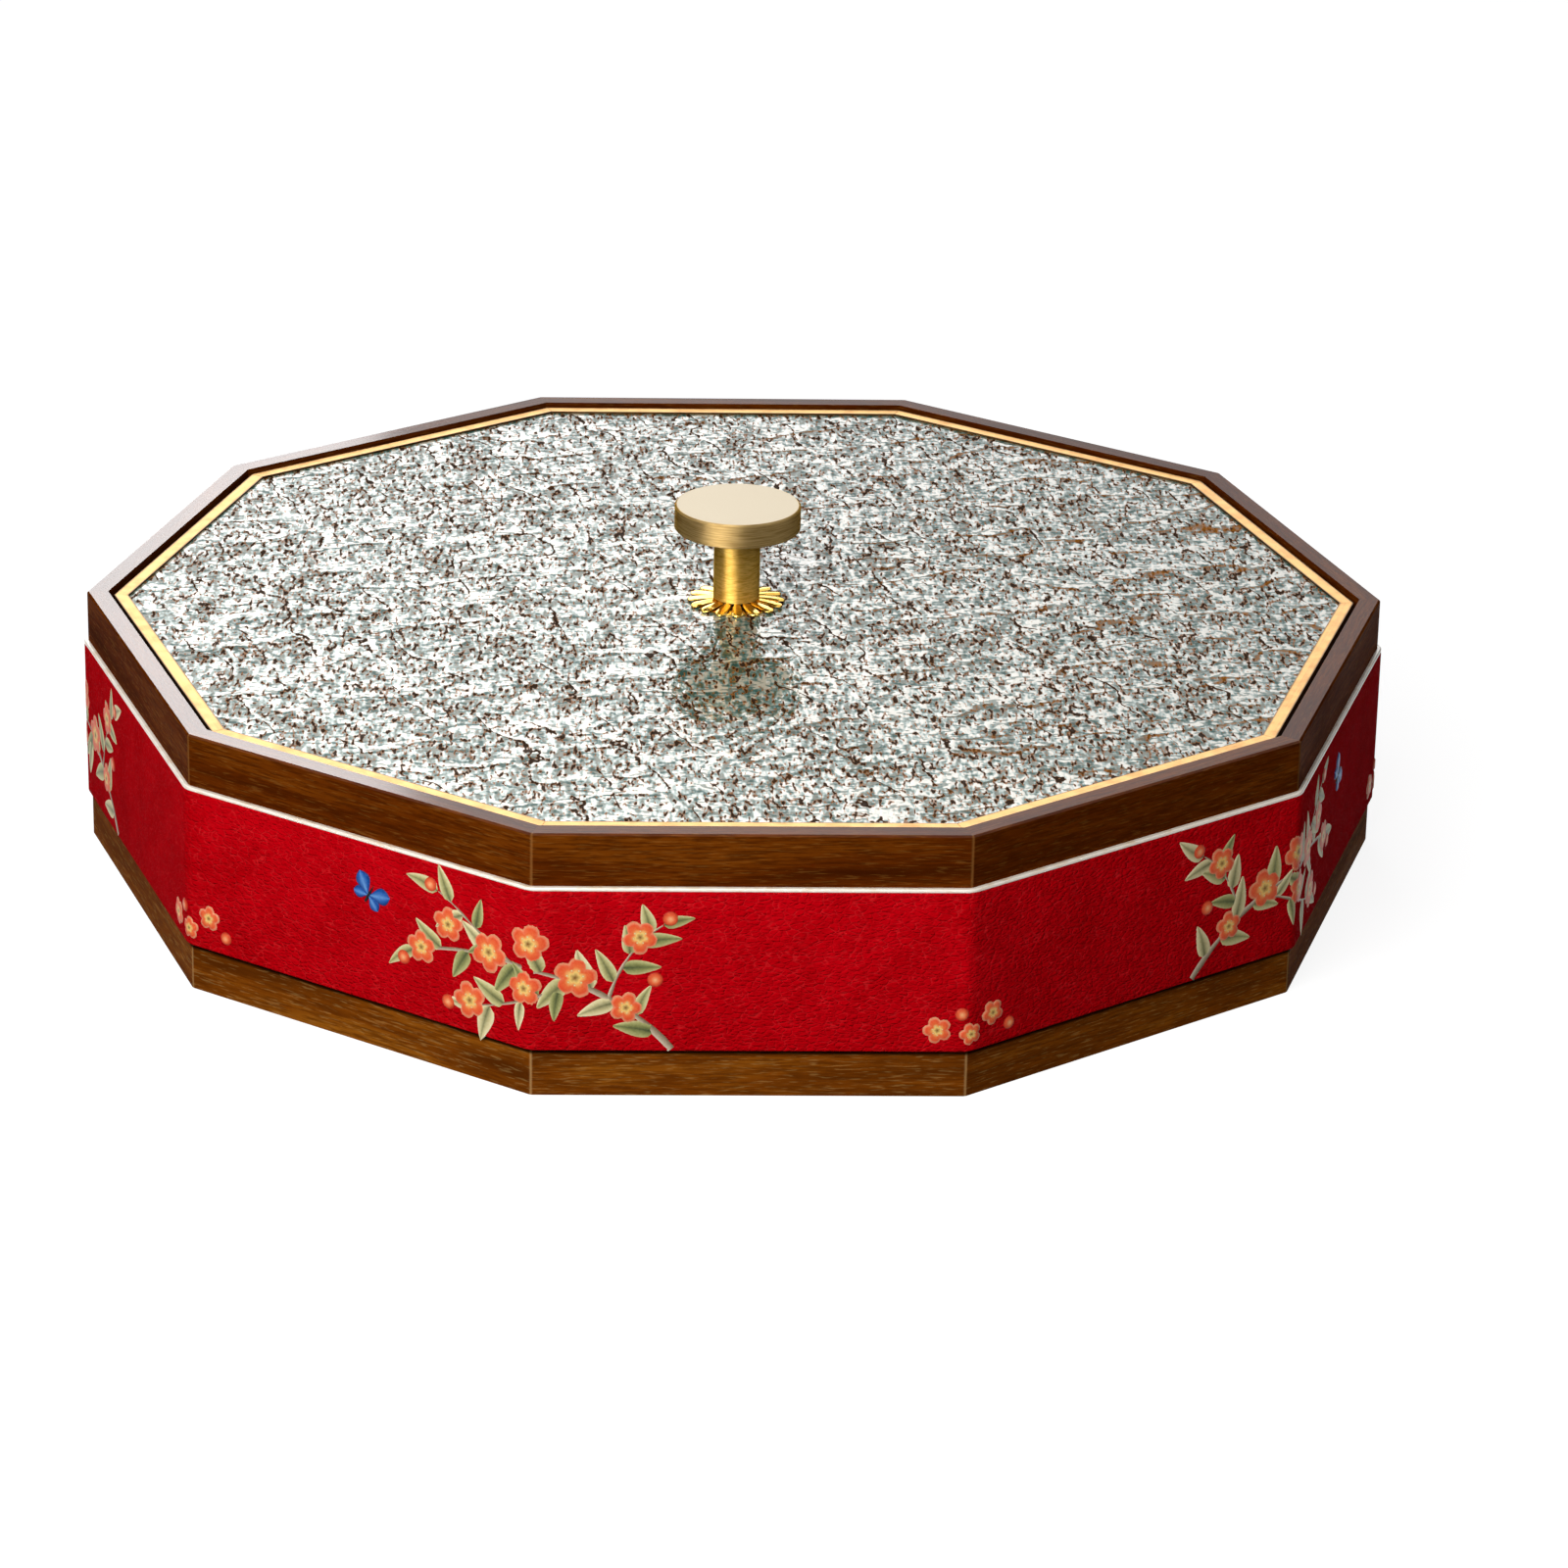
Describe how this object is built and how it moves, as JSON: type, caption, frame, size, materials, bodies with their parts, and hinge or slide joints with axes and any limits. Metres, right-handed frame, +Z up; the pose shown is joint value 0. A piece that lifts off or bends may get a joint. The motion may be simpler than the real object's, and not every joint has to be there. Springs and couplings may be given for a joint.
{
  "type": "divided serving box",
  "caption": "Ten-sided wooden serving box with a leather band, a divided inside and a brass-edged glass lid lifted out by a round knob.",
  "frame": {"origin": "middle of the underside, on the surface the box stands on", "axes": "+Z up through the knob, -Y to the flat side at the front, +X to the right through a corner"},
  "size_m": [0.29, 0.2764, 0.0795],
  "materials": {
    "walnut": "oiled walnut, fine grain along each board",
    "base_board": "veneered board, open matt finish",
    "divider_wood": "oiled walnut",
    "red_leather": "fine-grained deep red with a painted sprig pattern",
    "pale_edging": "smooth pale edge",
    "edge_brass": "satin",
    "polished_brass": "polished",
    "knob_brass": "brushed",
    "hammered_glass": "clear, hammered and rippled surface",
    "screw_steel": "plain",
    "washer_rubber": "matt"
  },
  "bodies": {
    "box": {"wall_panel_01": "walnut", "wall_panel_02": "walnut", "wall_panel_03": "walnut", "wall_panel_04": "walnut", "wall_panel_05": "walnut", "wall_panel_06": "walnut", "wall_panel_07": "walnut", "wall_panel_08": "walnut", "wall_panel_09": "walnut", "wall_panel_10": "walnut", "bottom_panel": "base_board", "leather_band": "red_leather", "band_edge_strip": "pale_edging", "centre_ring": "divider_wood", "divider_board_01": "divider_wood", "divider_board_02": "divider_wood", "divider_board_03": "divider_wood", "divider_board_04": "divider_wood", "divider_board_05": "divider_wood"},
    "lid": {"brass_edge_01": "edge_brass", "brass_edge_02": "edge_brass", "brass_edge_03": "edge_brass", "brass_edge_04": "edge_brass", "brass_edge_05": "edge_brass", "brass_edge_06": "edge_brass", "brass_edge_07": "edge_brass", "brass_edge_08": "edge_brass", "brass_edge_09": "edge_brass", "brass_edge_10": "edge_brass", "glass_panel": "hammered_glass", "petal_washer": "polished_brass", "knob_stem": "knob_brass", "knob_head": "knob_brass", "knob_screw": "screw_steel", "soft_washer": "washer_rubber", "clamp_washer": "screw_steel"}
  },
  "joints": [
    {"name": "lid_lift", "type": "slide", "parent": "box", "child": "lid", "axis": [0, 0, 1], "range_m": [0, 0.15]}
  ]
}
